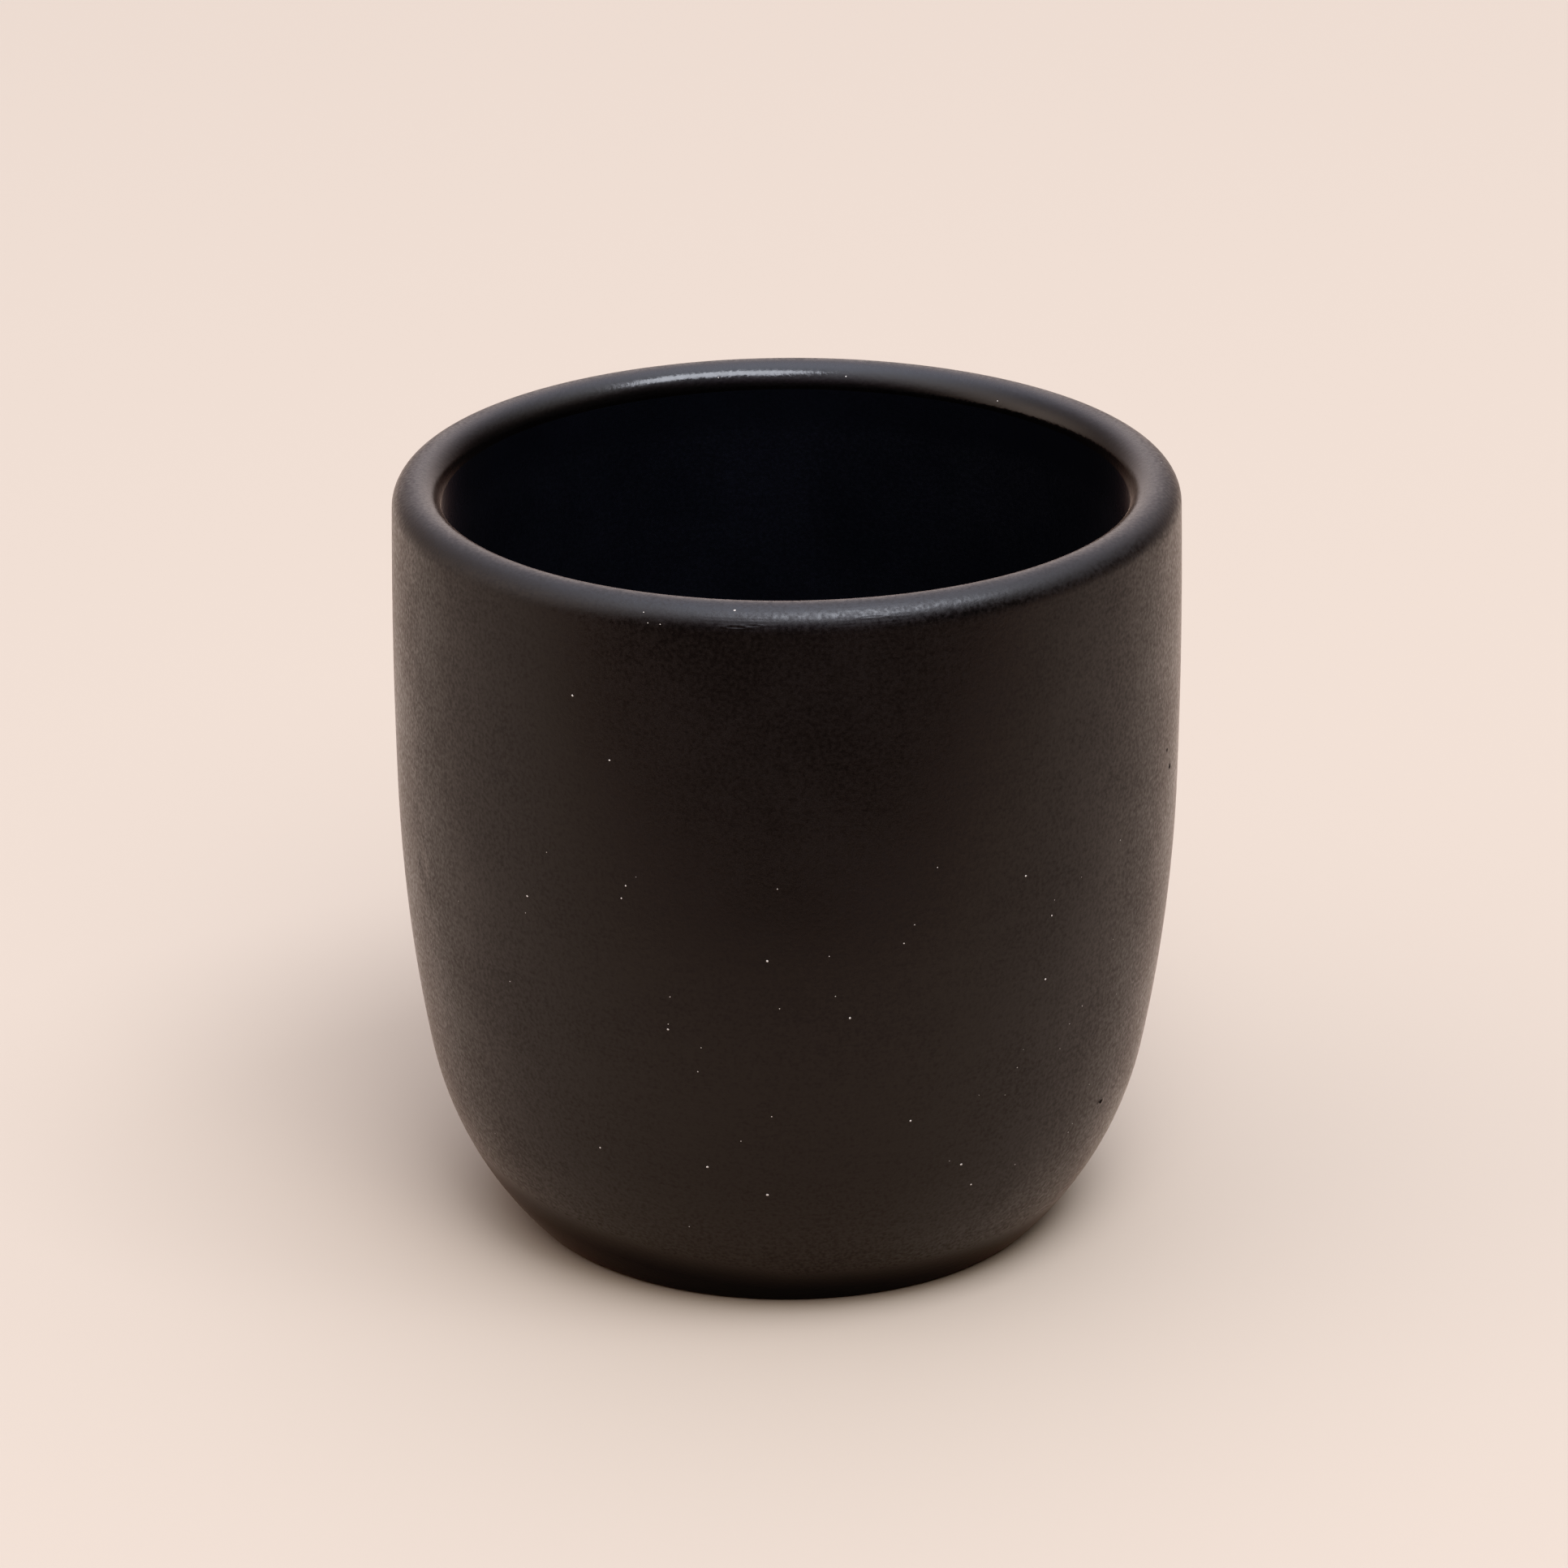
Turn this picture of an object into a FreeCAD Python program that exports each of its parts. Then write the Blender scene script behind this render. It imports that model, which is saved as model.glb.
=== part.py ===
import FreeCAD, Part
import math
import os

import Sketcher
from FreeCAD import Rotation, Vector

# An empty ceramic candle jar: a slip-cast stoneware shell with glaze fired on to it.
#
# The outside leans out very slightly from the rim to its widest level, then turns in through three arcs,
# each tangent to the next: wall, flank and belly. It ends in a small rounded edge at a flat foot ring, and
# the base is hollowed a little inside the ring. The rim is a full round. The inside is a true cylinder
# below the rim, then a flank, a belly and a heel arc that run into a flat floor.
#
# The jar stands on Z = 0 with its axis on Z. Every dimension of the outside and of the inside is taken
# over the glaze, so the clay is one glaze thickness smaller there. The arcs of clay and glaze share their
# centres, which keeps each coat the same thickness all along.

# Driving dimensions, in millimetres.
SIZES = [
    ("outer_diameter", 85.0, "widest diameter of the jar"),
    ("total_height", 84.0, "foot to the top of the rim"),
    ("rim_thickness", 5.4, "wall at the rim, which is a full round"),
    ("glaze_thickness", 0.3, "every coat of glaze"),
    ("widest_height", 63.0, "level of the widest diameter"),
    ("wall_radius", 740.0, "arc of the upper wall"),
    ("flank_top", 50.0, "level where the wall turns into the flank"),
    ("flank_radius", 177.0, "arc between the wall and the belly"),
    ("belly_top", 20.0, "level where the flank turns into the belly"),
    ("belly_radius", 39.4, "arc of the rounded bottom"),
    ("foot_edge_radius", 1.2, "outer edge of the bare foot"),
    ("foot_ring_width", 3.6, "flat that the jar stands on"),
    ("foot_lip_radius", 1.0, "inner edge of the foot ring"),
    ("hollow_radius", 2.0, "corner between the foot ring and the hollow of the base"),
    ("hollow_depth", 1.6, "depth of the hollow in the clay"),
    ("floor_height", 6.5, "inside floor above the foot"),
    ("heel_radius", 9.0, "corner between the inside wall and floor"),
]

# Worked out from the driving dimensions. NAME_r and NAME_z are the radius and height of an arc's centre.
WORKED_OUT = [
    ("rim_radius", "Sizes.rim_thickness / 2"),
    ("rim_z", "Sizes.total_height - rim_radius"),
    ("wall_r", "Sizes.outer_diameter / 2 - Sizes.wall_radius"),
    ("wall_z", "Sizes.widest_height"),
    ("rim_r", "wall_r + sqrt((Sizes.wall_radius - rim_radius) ^ 2 - (rim_z - wall_z) ^ 2)"),
    ("flank_sine", "(wall_z - Sizes.flank_top) / Sizes.wall_radius"),
    ("flank_r", "wall_r + (Sizes.wall_radius - Sizes.flank_radius) * sqrt(1 - flank_sine ^ 2)"),
    ("flank_z", "wall_z - (Sizes.wall_radius - Sizes.flank_radius) * flank_sine"),
    ("belly_sine", "(flank_z - Sizes.belly_top) / Sizes.flank_radius"),
    ("belly_r", "flank_r + (Sizes.flank_radius - Sizes.belly_radius) * sqrt(1 - belly_sine ^ 2)"),
    ("belly_z", "flank_z - (Sizes.flank_radius - Sizes.belly_radius) * belly_sine"),
    ("foot_z", "Sizes.foot_edge_radius"),
    ("foot_reach", "Sizes.belly_radius - Sizes.glaze_thickness - Sizes.foot_edge_radius"),
    ("foot_r", "belly_r + sqrt(foot_reach ^ 2 - (belly_z - foot_z) ^ 2)"),
    ("foot_glaze_z", "belly_z - (belly_z - foot_z) * (foot_reach + Sizes.foot_edge_radius) / foot_reach"),
    ("lip_r", "foot_r - Sizes.foot_ring_width"),
    ("lip_z", "Sizes.foot_lip_radius"),
    ("hollow_z", "Sizes.hollow_depth - Sizes.hollow_radius"),
    ("hollow_reach", "Sizes.hollow_radius + Sizes.foot_lip_radius"),
    ("hollow_r", "lip_r - sqrt(hollow_reach ^ 2 - (lip_z - hollow_z) ^ 2)"),
    ("hollow_glaze_z", "hollow_z + (lip_z - hollow_z) * Sizes.hollow_radius / hollow_reach"),
    ("mouth_radius", "rim_r - rim_radius"),
    ("inner_flank_radius", "Sizes.flank_radius - Sizes.rim_thickness"),
    ("inner_flank_r", "mouth_radius - inner_flank_radius"),
    ("inner_flank_z", "flank_z"),
    ("inner_belly_radius", "Sizes.belly_radius - Sizes.rim_thickness"),
    ("inner_belly_step", "inner_flank_radius - inner_belly_radius"),
    ("inner_belly_r", "inner_flank_r + inner_belly_step * sqrt(1 - belly_sine ^ 2)"),
    ("inner_belly_z", "inner_flank_z - inner_belly_step * belly_sine"),
    ("heel_z", "Sizes.floor_height + Sizes.heel_radius"),
    ("heel_reach", "inner_belly_radius - Sizes.heel_radius"),
    ("heel_r", "inner_belly_r + sqrt(heel_reach ^ 2 - (inner_belly_z - heel_z) ^ 2)"),
]

CENTRE = 3
ORIGIN = (-1, 1)
AXIS = -2
FULL_TURN = 360


def add_sheet(document, name, rows):
    """A spreadsheet with one aliased cell to a row: the alias beside it, its value, and a remark."""
    sheet = document.addObject("Spreadsheet::Sheet", name)
    for row, (alias, value, remark) in enumerate(rows, start=1):
        sheet.set(f"A{row}", alias)
        sheet.set(f"B{row}", str(value))
        sheet.set(f"C{row}", remark)
        sheet.setAlias(f"B{row}", alias)
    document.recompute()
    return sheet


class Section:
    """A closed half-section on the XZ plane: sketch x is the radius and sketch y the height.

    An edge is (index, first end, last end), with the ends in the order in which the outline is walked.
    """

    def __init__(self, body, sizes, places):
        self.sizes = sizes
        self.places = places
        self.sketch = body.newObject("Sketcher::SketchObject", f"{body.Name}_section")
        plane = [item for item in body.Origin.OriginFeatures if item.Role == "XZ_Plane"][0]
        self.sketch.AttachmentSupport = (plane, [""])
        self.sketch.MapMode = "FlatFace"

    def place(self, alias):
        return float(getattr(self.places, alias))

    def constrain(self, *terms):
        return self.sketch.addConstraint(Sketcher.Constraint(*terms))

    def dimension(self, expression, value, *terms):
        """A dimension that follows an expression; value is what it starts from."""
        index = self.constrain(*terms, value)
        self.sketch.setExpression(f"Constraints[{index}]", expression)

    def line(self, start, end):
        edge = Part.LineSegment(Vector(*start, 0), Vector(*end, 0))
        return (self.sketch.addGeometry(edge, False), 1, 2)

    def arc(self, centre, radius, first, last, concentric=None):
        """An arc from the angle first to the angle last, in radians, about a centre bound to the sheet.

        With concentric, an arc of the same section, its centre is tied to that arc's instead.
        """
        position = Vector(self.place(f"{centre}_r"), self.place(f"{centre}_z"), 0)
        circle = Part.Circle(position, Vector(0, 0, 1), radius)
        curve = Part.ArcOfCircle(circle, min(first, last), max(first, last))
        index = self.sketch.addGeometry(curve, False)
        if concentric:
            self.constrain("Coincident", concentric[0], CENTRE, index, CENTRE)
        else:
            self.dimension(f"Places.{centre}_r", position.x, "DistanceX", *ORIGIN, index, CENTRE)
            self.dimension(f"Places.{centre}_z", position.y, "DistanceY", *ORIGIN, index, CENTRE)
        return (index, 1, 2) if first < last else (index, 2, 1)

    def angle(self, larger, smaller):
        """The direction of the point where two arcs touch, the smaller one inside the larger."""
        rise = self.place(f"{smaller}_z") - self.place(f"{larger}_z")
        run = self.place(f"{smaller}_r") - self.place(f"{larger}_r")
        return math.atan2(rise, run)

    def level(self, edge, end, expression, value):
        """Hold one end of an edge at a height."""
        self.dimension(expression, value, "DistanceY", *ORIGIN, edge[0], end)

    def radius(self, edge, expression, value):
        self.dimension(expression, value, "Radius", edge[0])

    def run_on(self, edges):
        """Join each edge to the next, tangent at the ends."""
        for before, after in zip(edges, edges[1:]):
            self.constrain("Tangent", before[0], before[2], after[0], after[1])

    def meet(self, first, first_end, second, second_end):
        self.constrain("Coincident", first[0], first_end, second[0], second_end)

    def on_axis(self, edge):
        self.constrain("PointOnObject", edge[0], 1, AXIS)
        self.constrain("PointOnObject", edge[0], 2, AXIS)

    def end_point(self, edge, end):
        point = self.sketch.getPoint(edge[0], end)
        return (point.x, point.y)

    def cap(self, one, one_end, other, other_end):
        """A straight edge between the ends of two others."""
        edge = self.line(self.end_point(one, one_end), self.end_point(other, other_end))
        self.meet(edge, 1, one, one_end)
        self.meet(edge, 2, other, other_end)
        return edge

    def outside(self, inset, stop, beside=None):
        """The rim, wall, flank and belly arcs, inset from the finished surface, down to the angle stop."""
        sheet = self.sizes
        turns = [math.pi]
        turns += [self.angle(*pair) for pair in (("wall", "rim"), ("wall", "flank"), ("flank", "belly"))]
        turns.append(stop)
        names = ["rim", "wall", "flank", "belly"]
        radii = [self.place("rim_radius"), sheet.wall_radius, sheet.flank_radius, sheet.belly_radius]
        beside = beside or [None] * len(names)
        return [
            self.arc(name, radius - inset, first, last, partner)
            for name, radius, first, last, partner in zip(names, radii, turns, turns[1:], beside)
        ]

    def inside(self, inset, beside=None):
        """The floor, the heel, belly and flank arcs and the cylinder up to the rim, set back by inset."""
        floor = self.sizes.floor_height - inset
        wall = self.place("mouth_radius") + inset
        turns = [-math.pi / 2]
        turns += [self.angle(*pair) for pair in (("inner_belly", "heel"), ("inner_flank", "inner_belly"))]
        turns.append(0)
        names = ["heel", "inner_belly", "inner_flank"]
        radii = [self.sizes.heel_radius, self.place("inner_belly_radius"), self.place("inner_flank_radius")]
        beside = beside or [None] * (len(names) + 2)
        edges = [self.line((0, floor), (self.place("heel_r"), floor))]
        for name, radius, first, last, partner in zip(names, radii, turns, turns[1:], beside[1:]):
            edges.append(self.arc(name, radius + inset, first, last, partner))
        edges.append(self.line((wall, self.place("inner_flank_z")), (wall, self.place("rim_z"))))
        self.constrain("Horizontal", edges[0][0])
        self.constrain("Vertical", edges[-1][0])
        self.run_on(edges)
        return edges

    def hollow(self, inset, beside=None):
        """The corner and the ceiling of the hollow in the base, below the clay by inset."""
        top = self.sizes.hollow_depth - inset
        start = self.angle("hollow", "lip")
        corner = self.arc("hollow", self.sizes.hollow_radius - inset, start, math.pi / 2, beside)
        ceiling = self.line((self.place("hollow_r"), top), (0, top))
        self.constrain("Horizontal", ceiling[0])
        self.run_on([corner, ceiling])
        return [corner, ceiling]


def revolved(document, name, sizes, places, draw):
    """A body made by turning the half-section that draw makes once round the jar's axis."""
    body = document.addObject("PartDesign::Body", name)
    body.Label = name
    section = Section(body, sizes, places)
    draw(section)
    turned = body.newObject("PartDesign::Revolution", f"{name}_turned")
    turned.Profile = section.sketch
    turned.ReferenceAxis = (section.sketch, ["V_Axis"])
    turned.Angle = FULL_TURN
    body.Placement = FreeCAD.Placement(Vector(0, 0, 0), Rotation())
    document.recompute()
    return body


def draw_stoneware(section):
    """The clay: inside, rim, outside, foot ring and hollow base, in one closed walk from the inside floor."""
    coat = section.sizes.glaze_thickness
    floor = section.sizes.floor_height
    inner = section.inside(coat)
    section.level(inner[0], 1, "Sizes.floor_height - Sizes.glaze_thickness", floor - coat)
    foot_turn = section.angle("belly", "foot")
    outer = section.outside(coat, foot_turn)
    edge = section.arc("foot", section.sizes.foot_edge_radius, foot_turn, -math.pi / 2)
    ring = section.line((section.place("foot_r"), 0), (section.place("lip_r"), 0))
    section.constrain("Horizontal", ring[0])
    lip_turn = section.angle("hollow", "lip") - math.pi
    lip = section.arc("lip", section.sizes.foot_lip_radius, -math.pi / 2, lip_turn)
    hollow = section.hollow(0)
    section.run_on([inner[-1]] + outer + [edge, ring, lip, hollow[0]])
    axis = section.cap(hollow[-1], 2, inner[0], 1)
    section.on_axis(axis)


def draw_outer_glaze(section):
    """The coat over the rim and the outside, from the inside of the rim to the edge of the bare foot."""
    coat = section.sizes.glaze_thickness
    stop = section.angle("belly", "foot")
    face = section.outside(0, stop)
    back = section.outside(coat, stop, face)
    section.run_on(face)
    section.run_on(back)
    section.radius(face[0], "Places.rim_radius", section.place("rim_radius"))
    section.radius(back[0], "Places.rim_radius - Sizes.glaze_thickness", section.place("rim_radius") - coat)
    mouth = section.cap(face[0], face[0][1], back[0], back[0][1])
    section.constrain("Horizontal", mouth[0])
    section.level(mouth, 1, "Places.rim_z", section.place("rim_z"))
    foot = section.cap(face[-1], face[-1][2], back[-1], back[-1][2])
    section.constrain("PointOnObject", face[-1][0], CENTRE, foot[0])
    section.level(foot, 2, "Places.foot_glaze_z", section.place("foot_glaze_z"))


def draw_inner_glaze(section):
    """The coat over the inside wall and floor, up to where the rim begins."""
    coat = section.sizes.glaze_thickness
    floor = section.sizes.floor_height
    face = section.inside(0)
    back = section.inside(coat, face)
    section.level(face[0], 1, "Sizes.floor_height", floor)
    section.level(back[0], 1, "Sizes.floor_height - Sizes.glaze_thickness", floor - coat)
    axis = section.cap(face[0], 1, back[0], 1)
    section.on_axis(axis)
    mouth = section.cap(face[-1], 2, back[-1], 2)
    section.constrain("Horizontal", mouth[0])
    section.level(mouth, 1, "Places.rim_z", section.place("rim_z"))


def draw_base_glaze(section):
    """The coat in the hollow of the base, inside the bare foot ring."""
    coat = section.sizes.glaze_thickness
    depth = section.sizes.hollow_depth
    back = section.hollow(0)
    face = section.hollow(coat, back[0])
    section.level(back[1], 2, "Sizes.hollow_depth", depth)
    section.level(face[1], 2, "Sizes.hollow_depth - Sizes.glaze_thickness", depth - coat)
    axis = section.cap(back[1], 2, face[1], 2)
    section.on_axis(axis)
    rim = section.cap(back[0], back[0][1], face[0], face[0][1])
    section.constrain("PointOnObject", back[0][0], CENTRE, rim[0])
    section.level(rim, 1, "Places.hollow_glaze_z", section.place("hollow_glaze_z"))


def check(document, bodies):
    """Stop if any feature failed, or a body is not one valid closed solid."""
    for item in document.Objects:
        if "Invalid" in item.State or "Error" in item.State:
            raise RuntimeError(f"{item.Name} failed: {item.State}")
    for body in bodies:
        shape = body.Shape
        if shape.isNull() or not shape.isValid() or len(shape.Solids) != 1:
            raise RuntimeError(f"{body.Label} is not one valid solid")
        print(f"{body.Label}: {shape.Volume:.1f} mm3, {len(shape.Faces)} faces")


def main():
    document = FreeCAD.newDocument("candle_jar")
    sizes = add_sheet(document, "Sizes", SIZES)
    formulas = [(alias, f"={formula}", "worked out") for alias, formula in WORKED_OUT]
    places = add_sheet(document, "Places", formulas)
    pieces = [
        ("stoneware_body", draw_stoneware),
        ("outer_glaze", draw_outer_glaze),
        ("inner_glaze", draw_inner_glaze),
        ("base_glaze", draw_base_glaze),
    ]
    bodies = [revolved(document, name, sizes, places, draw) for name, draw in pieces]
    document.recompute()
    check(document, bodies)
    os.makedirs("parts", exist_ok=True)
    for body in bodies:
        body.Shape.exportStep(f"parts/{body.Label}.step")


main()
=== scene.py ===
import math
import random

import bmesh
import bpy
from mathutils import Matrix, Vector, noise


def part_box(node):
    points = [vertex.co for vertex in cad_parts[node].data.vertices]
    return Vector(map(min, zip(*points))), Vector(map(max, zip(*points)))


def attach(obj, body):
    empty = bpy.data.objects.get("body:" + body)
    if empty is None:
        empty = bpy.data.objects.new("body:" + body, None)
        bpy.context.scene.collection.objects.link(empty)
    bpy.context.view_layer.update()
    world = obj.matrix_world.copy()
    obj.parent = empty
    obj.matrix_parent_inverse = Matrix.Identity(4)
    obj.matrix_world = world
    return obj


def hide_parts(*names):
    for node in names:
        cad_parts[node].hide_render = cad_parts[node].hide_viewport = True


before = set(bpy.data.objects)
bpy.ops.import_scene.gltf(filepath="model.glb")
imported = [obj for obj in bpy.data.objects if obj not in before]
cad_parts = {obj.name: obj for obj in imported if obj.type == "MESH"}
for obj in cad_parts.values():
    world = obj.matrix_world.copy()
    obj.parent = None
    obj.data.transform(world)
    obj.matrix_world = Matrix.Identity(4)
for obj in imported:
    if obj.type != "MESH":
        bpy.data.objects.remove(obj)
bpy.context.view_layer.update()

# The looks of an empty black candle jar: a stoneware shell, a satin glaze outside and over the rim, a
# liner glaze inside and a coat in the hollow of the base. The clay and each coat are closed shells, turned
# from the same arcs as the CAD, but cut finer, and then made a little uneven, as a fired jar is. Lengths
# are in metres, heights are above the foot, and angles round the jar are from its front, -Y, towards +X.

# Sizes that the frame gives.
outer_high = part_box("outer_glaze")[1]
liner_low, liner_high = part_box("inner_glaze")
WIDEST = outer_high.x
TOP = outer_high.z
RIM_LEVEL = liner_high.z
RIM_RADIUS = TOP - RIM_LEVEL
GLAZE = 0.0003
FLOOR = liner_low.z + GLAZE

# The arcs of the section, as in the CAD.
WIDEST_LEVEL = 0.063
WALL_RADIUS = 0.740
FLANK_TOP = 0.050
FLANK_RADIUS = 0.177
BELLY_TOP = 0.020
BELLY_RADIUS = 0.0394
FOOT_EDGE = 0.0012
FOOT_RING = 0.0036
FOOT_LIP = 0.0010
HOLLOW_CORNER = 0.0020
HOLLOW_DEPTH = 0.0016
HEEL_RADIUS = 0.0090

# How finely the shells are cut.
SEGMENTS = 360
FINE = 0.00035
MEDIUM = 0.0007
COARSE = 0.0024
SHARPEST_SMOOTH = math.radians(50)

# How uneven the fired jar is: the tilt of its rim towards -X, how far the mouth is off centre, how much
# longer the rim is from front to back, how far the wall bows to the side, and how wavy the faces are, with
# how often the waves come round the jar and up it.
RIM_TILT = math.radians(0.36)
MOUTH_SHIFT = -0.0001
OVAL = 0.00022
BOW = 0.00012
WAVINESS = 0.00005
WAVES_ROUND = 1.7
WAVES_UP = 38

FRONT = -math.pi / 2


# Section ------------------------------------------------------------------------------------------------

def touching_at_level(centre, big, small, level):
    """Centre of the smaller arc that touches the bigger one from inside at a height."""
    sine = (centre[1] - level) / big
    reach = big - small
    return (centre[0] + reach * math.sqrt(1 - sine * sine), centre[1] - reach * sine)


def touching_from_level(centre, reach, level):
    """Centre at a height, at a distance from another centre, on the outer side."""
    drop = centre[1] - level
    return (centre[0] + math.sqrt(reach * reach - drop * drop), level)


def direction(centre, other):
    """The angle in which one centre sees another, where their arcs touch."""
    return math.atan2(other[1] - centre[1], other[0] - centre[0])


WALL = (WIDEST - WALL_RADIUS, WIDEST_LEVEL)
RIM = touching_from_level(WALL, WALL_RADIUS - RIM_RADIUS, RIM_LEVEL)
FLANK = touching_at_level(WALL, WALL_RADIUS, FLANK_RADIUS, FLANK_TOP)
BELLY = touching_at_level(FLANK, FLANK_RADIUS, BELLY_RADIUS, BELLY_TOP)
FOOT = touching_from_level(BELLY, BELLY_RADIUS - GLAZE - FOOT_EDGE, FOOT_EDGE)
LIP = (FOOT[0] - FOOT_RING, FOOT_LIP)
HOLLOW_LEVEL = HOLLOW_DEPTH - HOLLOW_CORNER
HOLLOW_REACH = math.sqrt((HOLLOW_CORNER + FOOT_LIP) ** 2 - (FOOT_LIP - HOLLOW_LEVEL) ** 2)
HOLLOW = (LIP[0] - HOLLOW_REACH, HOLLOW_LEVEL)
MOUTH = RIM[0] - RIM_RADIUS
INNER_FLANK_RADIUS = FLANK_RADIUS - 2 * RIM_RADIUS
INNER_FLANK = (MOUTH - INNER_FLANK_RADIUS, FLANK[1])
INNER_BELLY_RADIUS = BELLY_RADIUS - 2 * RIM_RADIUS
INNER_BELLY_TOP = INNER_FLANK[1] - INNER_FLANK_RADIUS * (FLANK[1] - BELLY_TOP) / FLANK_RADIUS
INNER_BELLY = touching_at_level(INNER_FLANK, INNER_FLANK_RADIUS, INNER_BELLY_RADIUS, INNER_BELLY_TOP)
HEEL = touching_from_level(INNER_BELLY, INNER_BELLY_RADIUS - HEEL_RADIUS, FLOOR + HEEL_RADIUS)


def arc(centre, radius, start, end, spacing):
    """Points along an arc, both ends included, as (radius, height)."""
    steps = max(2, round(abs(end - start) * radius / spacing))
    angles = [start + (end - start) * step / steps for step in range(steps + 1)]
    return [(centre[0] + radius * math.cos(t), centre[1] + radius * math.sin(t)) for t in angles]


def straight(start, end, spacing):
    """Points along a straight run, both ends included."""
    steps = max(1, round(math.dist(start, end) / spacing))
    shares = [step / steps for step in range(steps + 1)]
    return [tuple(a + (b - a) * share for a, b in zip(start, end)) for share in shares]


def joined(*runs):
    """One outline of runs that follow each other, with each shared end kept once."""
    points = []
    for run in runs:
        points += [point for point in run if not points or math.dist(point, points[-1]) > GLAZE / 1000]
    return points


def outside(inset, spacing, bead=0.0):
    """From the inside of the rim over it and down the wall, flank and belly to the foot."""
    wall_turn = direction(WALL, RIM)
    flank_turn = direction(WALL, FLANK)
    belly_turn = direction(FLANK, BELLY)
    foot_turn = direction(BELLY, FOOT) + bead / BELLY_RADIUS
    return joined(
        arc(RIM, RIM_RADIUS - inset, math.pi, wall_turn, spacing / 2),
        arc(WALL, WALL_RADIUS - inset, wall_turn, flank_turn, spacing),
        arc(FLANK, FLANK_RADIUS - inset, flank_turn, belly_turn, spacing),
        arc(BELLY, BELLY_RADIUS - inset, belly_turn, foot_turn, spacing),
    )


def inside(inset, spacing):
    """From the middle of the inside floor out and up to the inside of the rim."""
    belly_turn = direction(INNER_BELLY, HEEL)
    flank_turn = direction(INNER_FLANK, INNER_BELLY)
    level = FLOOR - inset
    wall = MOUTH + inset
    return joined(
        straight((0, level), (HEEL[0], level), spacing),
        arc(HEEL, HEEL_RADIUS + inset, FRONT, belly_turn, spacing),
        arc(INNER_BELLY, INNER_BELLY_RADIUS + inset, belly_turn, flank_turn, spacing),
        arc(INNER_FLANK, INNER_FLANK_RADIUS + inset, flank_turn, 0, spacing),
        straight((wall, INNER_FLANK[1]), (wall, RIM_LEVEL), spacing),
    )


def base_hollow(inset, spacing):
    """From the inner edge of the foot ring to the middle of the hollow base."""
    ceiling = HOLLOW_DEPTH - inset
    corner = arc(HOLLOW, HOLLOW_CORNER - inset, direction(HOLLOW, LIP), math.pi / 2, spacing / 4)
    return joined(corner, straight((HOLLOW[0], ceiling), (0, ceiling), spacing))


def glaze_bead():
    """The rounded end of the outer glaze, from its face to the clay."""
    turn = direction(BELLY, FOOT)
    middle = turn + GLAZE / BELLY_RADIUS
    reach = BELLY_RADIUS - GLAZE
    root = (BELLY[0] + reach * math.cos(middle), BELLY[1] + reach * math.sin(middle))
    return arc(root, GLAZE, middle, middle + FRONT, GLAZE / 4)


def outer_glaze_outline():
    face = outside(0, MEDIUM, bead=GLAZE)
    back = outside(GLAZE, COARSE)
    return joined(face, glaze_bead(), back[::-1])


def inner_glaze_outline():
    return joined(inside(0, MEDIUM), inside(GLAZE, COARSE)[::-1])


def base_glaze_outline():
    return joined(base_hollow(GLAZE, MEDIUM)[::-1], base_hollow(0, COARSE))


def stoneware_outline():
    foot_turn = direction(BELLY, FOOT)
    lip_turn = direction(LIP, HOLLOW)
    return joined(
        inside(GLAZE, COARSE),
        outside(GLAZE, COARSE),
        arc(FOOT, FOOT_EDGE, foot_turn, FRONT, FINE / 2),
        straight((FOOT[0], 0), (LIP[0], 0), FINE),
        arc(LIP, FOOT_LIP, FRONT, lip_turn - 2 * math.pi, FINE / 2),
        base_hollow(0, MEDIUM),
    )


# Shells -------------------------------------------------------------------------------------------------

def ramp(value, low, high):
    """0 below low, 1 above high, and a smooth step between them."""
    share = min(1.0, max(0.0, (value - low) / (high - low)))
    return share * share * (3 - 2 * share)


def inner_share(radius, height):
    """How far a point belongs to the mouth and not to the outside: 0 outside, 1 inside."""
    middle = RIM[0]
    across = 1 - ramp(radius, middle - RIM_RADIUS, middle + RIM_RADIUS)
    return across * ramp(height, FLOOR, INNER_FLANK[1])


def fired(radius, turn, height):
    """Where a point of the true shape lies on the fired jar, which is a little uneven."""
    level = height / TOP
    side = math.cos(turn)
    front = math.sin(turn)
    wave = noise.noise(Vector((side * WAVES_ROUND, front * WAVES_ROUND, height * WAVES_UP)))
    swell = (OVAL * level * front * front + WAVINESS * wave) * min(1.0, radius / HEEL[0])
    swollen = radius + swell
    shift = MOUTH_SHIFT * inner_share(radius, height) + BOW * math.sin(math.pi * level)
    lift = math.tan(RIM_TILT) * radius * side * level * level
    return (swollen * side + shift, swollen * front, height + lift)


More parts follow.
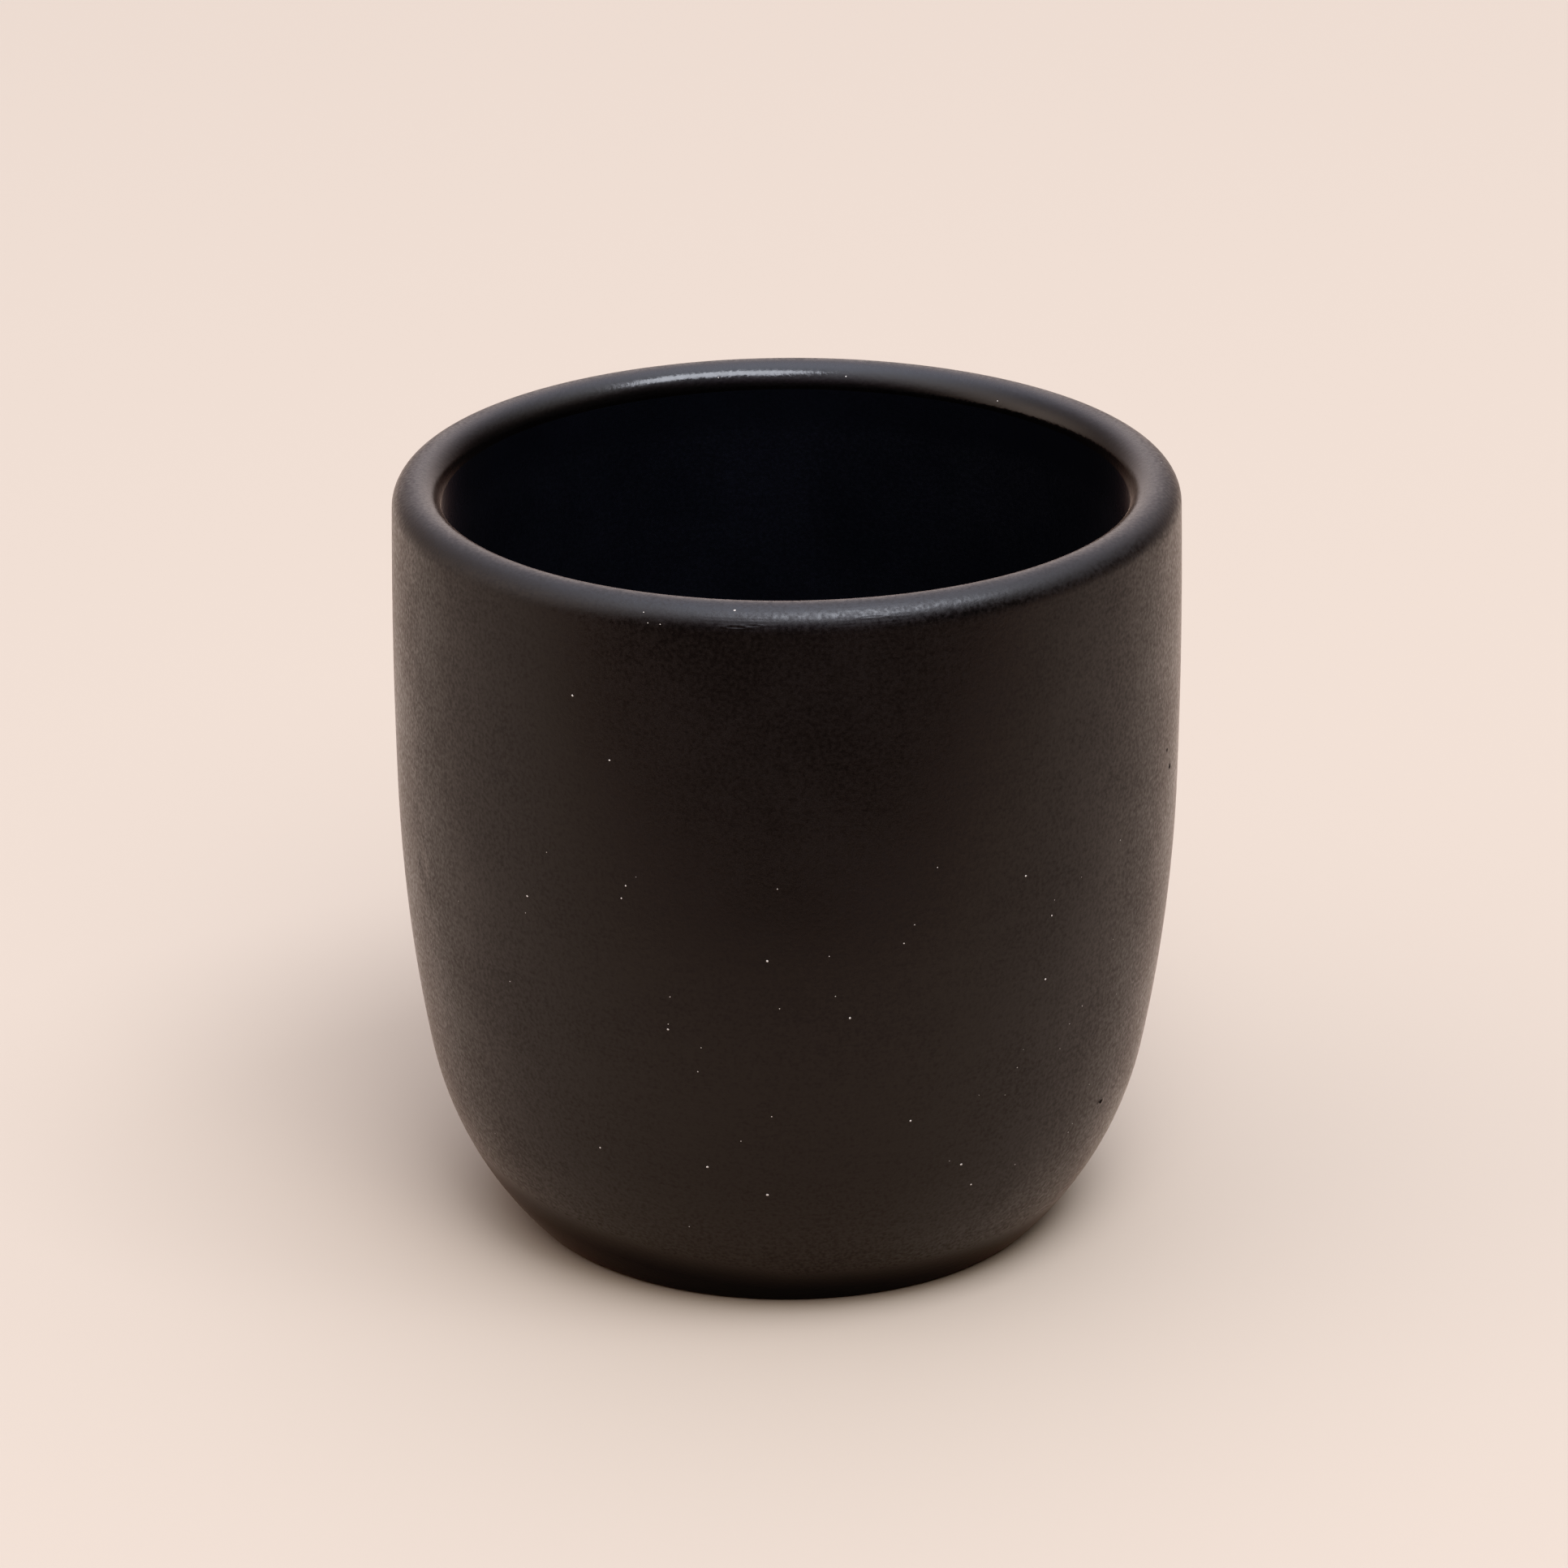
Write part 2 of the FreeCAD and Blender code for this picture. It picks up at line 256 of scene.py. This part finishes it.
def turned(name, outline):
    """A closed shell turned from an outline of (radius, height) points.

    The outline may start and end on the axis. If it doesn't, its end is joined to its start.
    """
    points = []
    rings = []
    for radius, height in outline:
        if radius < GLAZE / 10:
            rings.append([len(points)])
            points.append(fired(0, 0, height))
            continue
        rings.append(range(len(points), len(points) + SEGMENTS))
        for segment in range(SEGMENTS):
            points.append(fired(radius, math.tau * segment / SEGMENTS, height))
    pairs = list(zip(rings, rings[1:]))
    if len(rings[0]) > 1:
        pairs.append((rings[-1], rings[0]))
    faces = []
    for one, other in pairs:
        if len(one) == 1 and len(other) == 1:
            continue
        for segment in range(SEGMENTS):
            after = (segment + 1) % SEGMENTS
            corners = [one[segment % len(one)], other[segment % len(other)]]
            if len(other) > 1:
                corners.append(other[after])
            if len(one) > 1:
                corners.append(one[after])
            faces.append(corners)
    mesh = bpy.data.meshes.new(name)
    mesh.from_pydata(points, [], faces)
    shell = bmesh.new()
    shell.from_mesh(mesh)
    bmesh.ops.recalc_face_normals(shell, faces=shell.faces)
    shell.to_mesh(mesh)
    shell.free()
    mesh.shade_smooth()
    mesh.set_sharp_from_angle(angle=SHARPEST_SMOOTH)
    piece = bpy.data.objects.new(name, mesh)
    bpy.context.scene.collection.objects.link(piece)
    return piece


def spot(piece, angle, height):
    """The point and the normal of a shell's outside at an angle in degrees from the front, and a height."""
    turn = FRONT + math.radians(angle)
    outward = Vector((math.cos(turn), math.sin(turn), 0))
    start = outward * 2 * WIDEST + Vector((0, 0, height))
    found, place, normal, _ = piece.ray_cast(start, -outward)
    if not found:
        raise RuntimeError(f"nothing at {angle} degrees and {height} m")
    return place, normal


# Marks in the outer glaze: angle, height, width and height of the mark, depth, and the rise of its lip.
PITS = [
    (74.5, 0.0549, 0.00085, 0.00060, 0.00022, 0.00002),
    (72.5, 0.0573, 0.00060, 0.00045, 0.00010, 0.00001),
    (59.8, 0.0193, 0.00075, 0.00050, 0.00020, 0.00004),
]
# Soft hollows, as a fingertip leaves in the wet glaze.
DENTS = [
    (-67.2, 0.0457, 0.0030, 0.0045, 0.00005, 0.00001),
]
# Fine wrinkles, where the glaze drew together as it set on the shoulder of the rim.
WRINKLES = [
    (-7.0, 0.0821, 0.0021, 0.00024, 0.00003, 0.00003),
    (-4.6, 0.0823, 0.0016, 0.00020, 0.00002, 0.00002),
    (12.0, 0.0829, 0.0024, 0.00018, 0.00001, 0.00002),
]
# The kinds of marks, each with the length of the edges that its surroundings are cut down to.
MARKS = [(PITS, 0.00009), (DENTS, 0.0006), (WRINKLES, 0.00013)]
# The section of a mark, in half widths from its middle: where its hole runs out, and where its lip rises
# and falls. The shell is cut finer up to the reach, in whole widths.
HOLE = (0.25, 1.1)
LIP_RISE = (0.8, 1.2)
LIP_FALL = (1.2, 2.0)
MARK_REACH = 1.6


def press(piece, marks, finest):
    """Push marks into a shell, after cutting it finer round each of them."""
    places = [(spot(piece, mark[0], mark[1]), mark) for mark in marks]
    shell = bmesh.new()
    shell.from_mesh(piece.data)
    for (place, normal), (_, _, width, tall, depth, lip) in places:
        reach = MARK_REACH * max(width, tall)
        while True:
            near = [vertex for vertex in shell.verts if (vertex.co - place).length < reach]
            edges = {edge for vertex in near for edge in vertex.link_edges}
            edges = [edge for edge in edges if edge.calc_length() > finest]
            if not edges:
                break
            bmesh.ops.subdivide_edges(shell, edges=edges, cuts=1, use_grid_fill=True)
        up = Vector((0, 0, 1))
        up = (up - normal * up.dot(normal)).normalized()
        across = up.cross(normal)
        for vertex in shell.verts:
            gap = vertex.co - place
            if gap.length > reach or gap.dot(normal) < -GLAZE / 2:
                continue
            away = math.hypot(2 * gap.dot(across) / width, 2 * gap.dot(up) / tall)
            hole = 1 - ramp(away, *HOLE)
            rise = ramp(away, *LIP_RISE) * (1 - ramp(away, *LIP_FALL))
            vertex.co += normal * (lip * rise - depth * hole)
    shell.to_mesh(piece.data)
    shell.free()


def rim_spot(angle, lean):
    """The point and the normal on the rim. Lean is 0 outside, 90 on top and 180 on the mouth's side."""
    turn = FRONT + math.radians(angle)
    out = math.cos(math.radians(lean))
    up = math.sin(math.radians(lean))
    place = Vector(fired(RIM[0] + RIM_RADIUS * out, turn, RIM[1] + RIM_RADIUS * up))
    return place, Vector((out * math.cos(turn), out * math.sin(turn), up))


# Specks that are plain to see: angle, height, size.
CLEAR_SPECKS = [
    (-2.7, 0.0455, 0.00026), (40.3, 0.0390, 0.00022), (9.0, 0.0387, 0.00024), (-17.2, 0.0367, 0.00022),
    (35.7, 0.0518, 0.00020), (-23.0, 0.0526, 0.00020), (-23.7, 0.0511, 0.00020), (-39.7, 0.0487, 0.00020),
    (18.8, 0.0255, 0.00024), (-30.0, 0.0205, 0.00020), (-12.2, 0.0203, 0.00022), (-3.0, 0.0171, 0.00028),
    (28.2, 0.0187, 0.00022), (30.8, 0.0156, 0.00020), (-31.0, 0.0726, 0.00022), (40.8, 0.0463, 0.00018),
    (-25.2, 0.0663, 0.00018),
]
# Those on the rim: angle, lean, size.
RIM_SPECKS = [
    (-7.3, 57, 0.00020), (-20.2, 35, 0.00012), (-19.4, 13, 0.00010), (-17.6, 13, 0.00011),
    (-168.4, 146, 0.00013), (169.6, 146, 0.00015), (140.8, 154, 0.00014), (95.0, 70, 0.00012),
]
# Faint ones, scattered: how many, their least, greatest and likeliest heights, and their sizes.
FAINT_SPECKS = 110
FAINT_HEIGHTS = (0.006, 0.079, 0.025)
FAINT_SIZES = (0.00006, 0.00013)
SCATTER_SEED = 11
# The shape of a speck: how much longer than wide, how flat, how rough, and how fine its lumps are.
SPECK_STRETCH = (0.8, 1.3)
SPECK_FLATNESS = 0.35
SPECK_ROUGHNESS = 0.25
SPECK_LUMPS = 1.8
SPECK_SEED = 3


def all_specks(piece):
    """The plain specks, and faint ones scattered all round: the point, the normal and the size of each."""
    draw = random.Random(SCATTER_SEED)
    listed = [(*spot(piece, angle, height), size) for angle, height, size in CLEAR_SPECKS]
    listed += [(*rim_spot(angle, lean), size) for angle, lean, size in RIM_SPECKS]
    for _ in range(FAINT_SPECKS):
        angle = draw.uniform(-180, 180)
        height = draw.triangular(*FAINT_HEIGHTS)
        listed.append((*spot(piece, angle, height), draw.uniform(*FAINT_SIZES)))
    return listed


def grains_at(places):
    """Small flat grains of pale mineral, each at a point and a normal of a shell's face."""
    draw = random.Random(SPECK_SEED)
    grains = bmesh.new()
    for place, normal, size in places:
        made = bmesh.ops.create_icosphere(grains, subdivisions=2, radius=size / 2)
        turn = normal.to_track_quat("Z", "Y").to_matrix()
        stretch = draw.uniform(*SPECK_STRETCH)
        for vertex in made["verts"]:
            lumps = noise.noise(vertex.co.normalized() * SPECK_LUMPS + place * 1000)
            rough = 1 + SPECK_ROUGHNESS * lumps
            local = Vector((vertex.co.x * stretch, vertex.co.y, vertex.co.z * SPECK_FLATNESS)) * rough
            vertex.co = place + turn @ local
    mesh = bpy.data.meshes.new("glaze_specks")
    grains.to_mesh(mesh)
    grains.free()
    mesh.shade_smooth()
    specks = bpy.data.objects.new("glaze_specks", mesh)
    bpy.context.scene.collection.objects.link(specks)
    return specks


# Materials ----------------------------------------------------------------------------------------------

# The black glazes: darkest and lightest colour, least and greatest roughness, and the weight of the sheen.
SATIN = ((0.0066, 0.0052, 0.0048), (0.0100, 0.0079, 0.0072), 0.30, 0.60, 0.17)
LINER = ((0.012, 0.013, 0.018), (0.017, 0.018, 0.024), 0.28, 0.46, 0.06)
GLAZE_IOR = 1.54
SHEEN_ROUGHNESS = 0.3
SHEEN_TINT = (1.0, 0.75, 0.60)
# The glaze's patterns: how fine its clouds are, how fine and high the grain and the orange peel are, and
# the same for the turning lines, with how often a line changes on its way round.
CLOUDS = 90
GRAIN = 2400
GRAIN_HEIGHT = 0.000008
PEEL = 650
PEEL_HEIGHT = 0.00001
LINES = 2600
LINE_CHANGES = 5
LINE_HEIGHT = 0.000004
# The glaze pools on the mouth's side of the rim and is glossier there, with this share of its roughness.
POOLED = 0.42
# Painted shade just above the bare foot: between these heights the outer glaze's colour darkens into
# painted shade, which stands in for the shaded floor under the jar that the lower belly reflects, and the
# glaze is rougher there. On the -X side the heights rise by this share of the distance, where the painted
# shade is deeper. Then the colour of the painted shade, and the roughness of the band.
FOOT_SHADE_HEIGHTS = (0.0020, 0.0090)
FOOT_SHADE_SLANT = 0.13
FOOT_SHADE_COLOUR = (0.0010, 0.0007, 0.0006)
FOOT_BAND_ROUGHNESS = 0.95
# The bare clay: its two colours and how fine their patches are, then its sand and its grog.
CLAY_DARK = (0.060, 0.047, 0.040)
CLAY_LIGHT = (0.105, 0.084, 0.070)
CLAY_PATCHES = 160
SAND = 2400
SAND_COLOUR = (0.17, 0.14, 0.12)
SAND_HEIGHT = 0.00004
GROG = 1100
GROG_COLOUR = (0.02, 0.016, 0.014)
# The specks' darkest and palest colour, and how fine the change from one to the other is.
SPECK_DARK = (0.30, 0.27, 0.25)
SPECK_PALE = (0.72, 0.68, 0.64)
SPECK_CHANGE = 700


class Nodes:
    """A node tree under construction, with short calls for its nodes."""

    def __init__(self, tree):
        self.nodes = tree.nodes
        self.links = tree.links

    def add(self, kind, settings=None, **inputs):
        node = self.nodes.new(kind)
        for key, value in (settings or {}).items():
            setattr(node, key, value)
        for key, value in inputs.items():
            self.feed(node.inputs[key.replace("_", " ")], value)
        return node

    def feed(self, socket, value):
        if isinstance(value, bpy.types.NodeSocket):
            self.links.new(value, socket)
        else:
            socket.default_value = value

    def math(self, operation, first, second=0.0):
        node = self.nodes.new("ShaderNodeMath")
        node.operation = operation
        self.feed(node.inputs[0], first)
        self.feed(node.inputs[1], second)
        return node.outputs[0]

    def of_vector(self, operation, vector):
        node = self.add("ShaderNodeVectorMath", {"operation": operation})
        self.links.new(vector, node.inputs[0])
        return node.outputs["Value" if operation == "LENGTH" else "Vector"]


class Shader(Nodes):
    """A material under construction, with the patterns and places that the materials share."""

    def __init__(self, name):
        self.material = bpy.data.materials.new(name)
        self.material.use_nodes = True
        super().__init__(self.material.node_tree)
        self.surface = self.nodes["Principled BSDF"]
        self.place = self.nodes.new("ShaderNodeTexCoord").outputs["Object"]

    def noise(self, scale, detail=3.0, roughness=0.5, at=None):
        at = at or self.place
        node = self.add("ShaderNodeTexNoise", Vector=at, Scale=scale, Detail=detail, Roughness=roughness)
        return node.outputs["Fac"]

    def spread(self, value, low, high, to_low=0.0, to_high=1.0):
        """A value mapped from one range to another, clamped."""
        node = self.add("ShaderNodeMapRange", {"clamp": True})
        for socket, number in zip(node.inputs, (value, low, high, to_low, to_high)):
            self.feed(socket, number)
        return node.outputs[0]

    def mix(self, share, first, second):
        node = self.nodes.new("ShaderNodeMix")
        node.data_type = "RGBA"
        self.feed(node.inputs["Factor"], share)
        self.feed(node.inputs[6], first)
        self.feed(node.inputs[7], second)
        return node.outputs[2]

    def bump(self, height, distance, below=None):
        node = self.add("ShaderNodeBump", Height=height, Distance=distance, Strength=1.0)
        if below:
            self.links.new(below, node.inputs["Normal"])
        return node.outputs["Normal"]

    def height(self):
        return self.add("ShaderNodeSeparateXYZ", Vector=self.place).outputs["Z"]

    def off_axis(self):
        """The vector straight out from the axis."""
        split = self.add("ShaderNodeSeparateXYZ", Vector=self.place).outputs
        return self.add("ShaderNodeCombineXYZ", X=split["X"], Y=split["Y"]).outputs[0]

    def mouth_side(self):
        """1 on the mouth's side of the rim, fading out over its top, and 0 on the outer wall and foot."""
        radius = self.of_vector("LENGTH", self.off_axis())
        across = self.spread(radius, RIM[0] - RIM_RADIUS / 2, RIM[0] + RIM_RADIUS / 3, 1.0, 0.0)
        above = self.spread(self.height(), RIM_LEVEL - 2 * RIM_RADIUS, RIM_LEVEL - RIM_RADIUS)
        return self.math("MULTIPLY", across, above)

    def round_the_axis(self, across, along):
        """Coordinates that stretch a pattern round the jar.

        Distance from the axis and height are times across, and the way round is times along.
        """
        outward = self.off_axis()
        circle = self.add("ShaderNodeSeparateXYZ", Vector=self.of_vector("NORMALIZE", outward)).outputs
        turned_x = self.math("MULTIPLY", circle["X"], along)
        turned_y = self.math("MULTIPLY", circle["Y"], along)
        reach = self.math("ADD", self.of_vector("LENGTH", outward), self.height())
        far = self.math("MULTIPLY", reach, across)
        return self.add("ShaderNodeCombineXYZ", X=turned_x, Y=turned_y, Z=far).outputs[0]


def glaze_material(name, dark, light, smoothest, roughest, sheen, edge=None):
    """A satin black glaze: cloudy colour, a grainy gloss, fine orange peel and faint turning lines.

    Over the heights of its edge, if it has one, its colour darkens into painted shade and it is rougher.
    """
    shader = Shader(name)
    clouds = shader.spread(shader.noise(CLOUDS, 4.0, 0.55), 0.35, 0.65)
    grain = shader.spread(shader.noise(GRAIN, 2.0), 0.3, 0.7)
    share = shader.math("MULTIPLY", shader.math("ADD", clouds, grain), 0.5)
    colour = shader.mix(share, (*dark, 1), (*light, 1))
    lines = shader.noise(1.0, 3.0, 0.6, at=shader.round_the_axis(LINES, LINE_CHANGES))
    gloss = shader.math("ADD", shader.math("MULTIPLY", grain, 0.5), shader.math("MULTIPLY", clouds, 0.2))
    gloss = shader.math("ADD", gloss, shader.math("MULTIPLY", lines, 0.3))
    finish = shader.spread(gloss, 0.2, 0.8, smoothest, roughest)
    pooled = shader.spread(shader.mouth_side(), 0.0, 1.0, 1.0, POOLED)
    rough = shader.math("MULTIPLY", finish, pooled)
    if edge:
        # Painted shade: the colour darkens towards the foot, reaching higher on the -X side, for the shaded
        # floor the belly reflects.
        split = shader.add("ShaderNodeSeparateXYZ", Vector=shader.place).outputs
        lean = shader.math("MULTIPLY", shader.math("MINIMUM", split["X"], 0.0), FOOT_SHADE_SLANT)
        height = shader.math("ADD", split["Z"], lean)
        colour = shader.mix(shader.spread(height, *edge), (*FOOT_SHADE_COLOUR, 1), colour)
        rough = shader.math("MAXIMUM", rough, shader.spread(height, *edge, FOOT_BAND_ROUGHNESS, 0.0))
    shader.feed(shader.surface.inputs["Base Color"], colour)
    shader.feed(shader.surface.inputs["Roughness"], rough)
    peel = shader.bump(shader.noise(PEEL, 2.0), PEEL_HEIGHT)
    fine = shader.bump(grain, GRAIN_HEIGHT, below=peel)
    turning = shader.bump(lines, LINE_HEIGHT, below=fine)
    shader.feed(shader.surface.inputs["Normal"], turning)
    shader.surface.inputs["IOR"].default_value = GLAZE_IOR
    shader.surface.inputs["Specular IOR Level"].default_value = 0.5
    shader.surface.inputs["Sheen Weight"].default_value = sheen
    shader.surface.inputs["Sheen Roughness"].default_value = SHEEN_ROUGHNESS
    shader.surface.inputs["Sheen Tint"].default_value = (*SHEEN_TINT, 1)
    return shader.material


def clay_material():
    """Bare fired stoneware: warm dark grey, sandy, with darker and paler grains."""
    shader = Shader("bare_clay")
    sand = shader.noise(SAND, 4.0, 0.7)
    patches = shader.noise(CLAY_PATCHES, 3.0)
    grog = shader.add("ShaderNodeTexVoronoi", Vector=shader.place, Scale=GROG).outputs["Distance"]
    body = shader.mix(patches, (*CLAY_DARK, 1), (*CLAY_LIGHT, 1))
    sandy = shader.mix(shader.spread(sand, 0.35, 0.7), body, (*SAND_COLOUR, 1))
    colour = shader.mix(shader.spread(grog, 0.10, 0.22, 0.6, 0.0), sandy, (*GROG_COLOUR, 1))
    shader.feed(shader.surface.inputs["Base Color"], colour)
    shader.feed(shader.surface.inputs["Roughness"], shader.spread(sand, 0.3, 0.7, 0.82, 0.96))
    shader.feed(shader.surface.inputs["Normal"], shader.bump(sand, SAND_HEIGHT))
    return shader.material


def speck_material():
    """Pale mineral grains, each a little different."""
    shader = Shader("pale_mineral")
    tone = shader.noise(SPECK_CHANGE, 1.0)
    colour = shader.mix(tone, (*SPECK_DARK, 1), (*SPECK_PALE, 1))
    shader.feed(shader.surface.inputs["Base Color"], colour)
    shader.feed(shader.surface.inputs["Roughness"], shader.spread(tone, 0.2, 0.8, 0.45, 0.7))
    return shader.material


# Stage --------------------------------------------------------------------------------------------------

# The floor's colour, how fine its fibres are, its radius, the distances between which it fades into the
# backdrop, and the backdrop.
PALE = (0.441, 0.370, 0.309)
FIBRES = 420
FLOOR_REACH = 3.0
FLOOR_FADE = (0.7, 2.4)
BACKDROP = (0.90, 0.745, 0.68)

# The grey card: its colour, where it starts and ends along Y, half its width, and its height.
CARD_GREY = (0.13, 0.107, 0.094)
CARD_NEAR = -0.15
CARD_FAR = -2.0
CARD_HALF = 1.2
CARD_LEVEL = 0.0004

# The lights: azimuth, elevation, distance, width, height, radiance and colour.
KEY = (36, 66, 4.0, 3.0, 1.5, 7.3, (0.97, 1.01, 1.12))
FILL = (14, 50, 4.0, 2.4, 2.4, 4.4, (1.0, 0.97, 0.90))

# Soft panels round the jar: azimuth, elevation, sharpness, and the light from the middle of each.
PANELS = [
    (0, 90, 6, (1.56, 1.70, 2.00)),
    (180, 60, 7, (0.95, 0.95, 1.12)),
    (180, 15, 7, (1.05, 0.90, 0.86)),
    (90, 50, 7, (0.68, 0.66, 0.62)),
    (-90, 12, 7, (1.36, 1.16, 1.03)),
    (-60, 50, 7, (1.00, 0.96, 0.96)),
    (0, 40, 7, (0.45, 0.42, 0.48)),
]

# Points of the toning curve: the light of a tone, and how bright it is shown.
TONES = [(0.012, 0.0015), (0.024, 0.0052), (0.045, 0.021), (0.10, 0.075), (0.20, 0.187), (0.40, 0.40)]

# The camera: focal length and sensor width in mm, tilt, distance, the point it looks at, and how near and
# how far it sees.
LENS = 147.37
SENSOR = 36
TILT = math.radians(21.77)
CAMERA_DISTANCE = 0.700
AIM = Vector((-0.00027, 0, 0.04828))
NEAREST = 0.05
FARTHEST = 20


def floor():
    """A pale paper floor, level with the jar's foot, that fades into the backdrop far from the jar."""
    mesh = bpy.data.meshes.new("floor")
    disc = bmesh.new()
    bmesh.ops.create_circle(disc, cap_ends=True, segments=96, radius=FLOOR_REACH)
    disc.to_mesh(mesh)
    disc.free()
    sheet = bpy.data.objects.new("floor", mesh)
    bpy.context.scene.collection.objects.link(sheet)
    shader = Shader("pale_paper")
    fibres = shader.noise(FIBRES, 4.0)
    shader.feed(shader.surface.inputs["Base Color"], (*PALE, 1))
    shader.feed(shader.surface.inputs["Roughness"], shader.spread(fibres, 0.3, 0.7, 0.85, 0.95))
    shader.surface.inputs["Specular IOR Level"].default_value = 0.0
    far = shader.spread(shader.of_vector("LENGTH", shader.place), *FLOOR_FADE)
    glow = shader.add("ShaderNodeEmission", Color=(*BACKDROP, 1), Strength=1.0)
    blend = shader.add("ShaderNodeMixShader", Fac=far)
    shader.links.new(shader.surface.outputs["BSDF"], blend.inputs[1])
    shader.links.new(glow.outputs["Emission"], blend.inputs[2])
    shader.links.new(blend.outputs["Shader"], shader.nodes["Material Output"].inputs["Surface"])
    mesh.materials.append(shader.material)


def grey_card():
    """A grey card lying in front of the jar. It shows only in the glaze, and keeps the front wall dark."""
    mesh = bpy.data.meshes.new("grey_card")
    corners = [(side, y, CARD_LEVEL) for y in (CARD_NEAR, CARD_FAR) for side in (-CARD_HALF, CARD_HALF)]
    mesh.from_pydata(corners, [], [(0, 2, 3, 1)])
    card = bpy.data.objects.new("grey_card", mesh)
    bpy.context.scene.collection.objects.link(card)
    shader = Shader("grey_card")
    shader.surface.inputs["Base Color"].default_value = (*CARD_GREY, 1)
    shader.surface.inputs["Roughness"].default_value = 1.0
    shader.surface.inputs["Specular IOR Level"].default_value = 0.0
    mesh.materials.append(shader.material)
    card.visible_camera = False
    card.visible_diffuse = False
    card.visible_shadow = False


def towards(azimuth, elevation):
    """A unit vector from the jar: azimuth 0 is the front and 90 is +X, and elevation is above the floor."""
    around = math.radians(azimuth)
    above = math.radians(elevation)
    level = math.cos(above)
    return Vector((math.sin(around) * level, -math.cos(around) * level, math.sin(above)))


def softbox(name, azimuth, elevation, distance, wide, tall, radiance, colour):
    """A flat light that faces the jar, and the lamp's holder."""
    lamp = bpy.data.lights.new(name, "AREA")
    lamp.shape = "RECTANGLE"
    lamp.size = wide
    lamp.size_y = tall
    lamp.energy = radiance * math.pi * wide * tall
    lamp.color = colour
    away = towards(azimuth, elevation)
    holder = bpy.data.objects.new(name, lamp)
    holder.location = Vector((0, 0, TOP / 2)) + away * distance
    holder.rotation_euler = away.to_track_quat("Z", "Y").to_euler()
    bpy.context.scene.collection.objects.link(holder)
    return holder


def surroundings():
    """A studio of soft panels: bright overhead, pale and warm behind and at the sides, dark in front."""
    world = bpy.data.worlds.new("studio")
    bpy.context.scene.world = world
    world.use_nodes = True
    sky = Nodes(world.node_tree)
    sky.nodes.clear()

    def light_of(colour, strength):
        return sky.add("ShaderNodeBackground", Color=(*colour, 1), Strength=strength).outputs[0]

    way = sky.add("ShaderNodeTexCoord").outputs["Generated"]
    studio = light_of((0, 0, 0), 0.0)
    for azimuth, elevation, sharpness, colour in PANELS:
        facing = sky.add("ShaderNodeVectorMath", {"operation": "DOT_PRODUCT"})
        sky.feed(facing.inputs[0], way)
        sky.feed(facing.inputs[1], towards(azimuth, elevation))
        off = sky.math("SUBTRACT", facing.outputs["Value"], 1.0)
        glow = sky.math("EXPONENT", sky.math("MULTIPLY", off, sharpness))
        both = sky.add("ShaderNodeAddShader")
        sky.links.new(studio, both.inputs[0])
        sky.links.new(light_of(colour, glow), both.inputs[1])
        studio = both.outputs[0]
    seen = sky.add("ShaderNodeLightPath").outputs["Is Camera Ray"]
    mix = sky.add("ShaderNodeMixShader", Fac=seen)
    sky.links.new(studio, mix.inputs[1])
    sky.links.new(light_of(BACKDROP, 1.0), mix.inputs[2])
    sky.add("ShaderNodeOutputWorld", Surface=mix.outputs[0])


def camera():
    """A long lens in front of the jar, looking down on it a little."""
    lens = bpy.data.cameras.new("camera")
    lens.sensor_width = SENSOR
    lens.lens = LENS
    lens.clip_start = NEAREST
    lens.clip_end = FARTHEST
    holder = bpy.data.objects.new("camera", lens)
    holder.location = AIM + CAMERA_DISTANCE * Vector((0, -math.cos(TILT), math.sin(TILT)))
    holder.rotation_euler = (math.pi / 2 - TILT, 0, 0)
    bpy.context.scene.collection.objects.link(holder)
    bpy.context.scene.camera = holder


def toning():
    """Toned as a print is: the dark tones are deeper, and the middle and bright ones stay as they are."""
    view = bpy.context.scene.view_settings
    view.view_transform = "Standard"
    view.use_curve_mapping = True
    tones = view.curve_mapping.curves[3]
    for seen, shown in TONES:
        tones.points.new(seen, shown)
    view.curve_mapping.update()


# The jar ------------------------------------------------------------------------------------------------

def stand_for(piece, node, material):
    """The piece is shown in place of a CAD node, with a material."""
    piece.data.materials.append(material)
    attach(piece, "root")
    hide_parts(node)


outer_glaze = turned("outer_glaze_coat", outer_glaze_outline())
for marks, finest in MARKS:
    press(outer_glaze, marks, finest)
# The outer glaze has painted shade darkening its colour just above the foot.
satin = glaze_material("satin_black_glaze", *SATIN, FOOT_SHADE_HEIGHTS)
stand_for(outer_glaze, "outer_glaze", satin)

inner_glaze = turned("inner_glaze_coat", inner_glaze_outline())
stand_for(inner_glaze, "inner_glaze", glaze_material("liner_black_glaze", *LINER))

base_glaze = turned("base_glaze_coat", base_glaze_outline())
stand_for(base_glaze, "base_glaze", glaze_material("base_black_glaze", *SATIN))

stoneware = turned("stoneware_shell", stoneware_outline())
stand_for(stoneware, "stoneware_body", clay_material())

specks = grains_at(all_specks(outer_glaze))
specks.data.materials.append(speck_material())
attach(specks, "root")

floor()
grey_card()
surroundings()
softbox("key", *KEY)
fill = softbox("fill", *FILL)
fill.visible_glossy = False
camera()
toning()
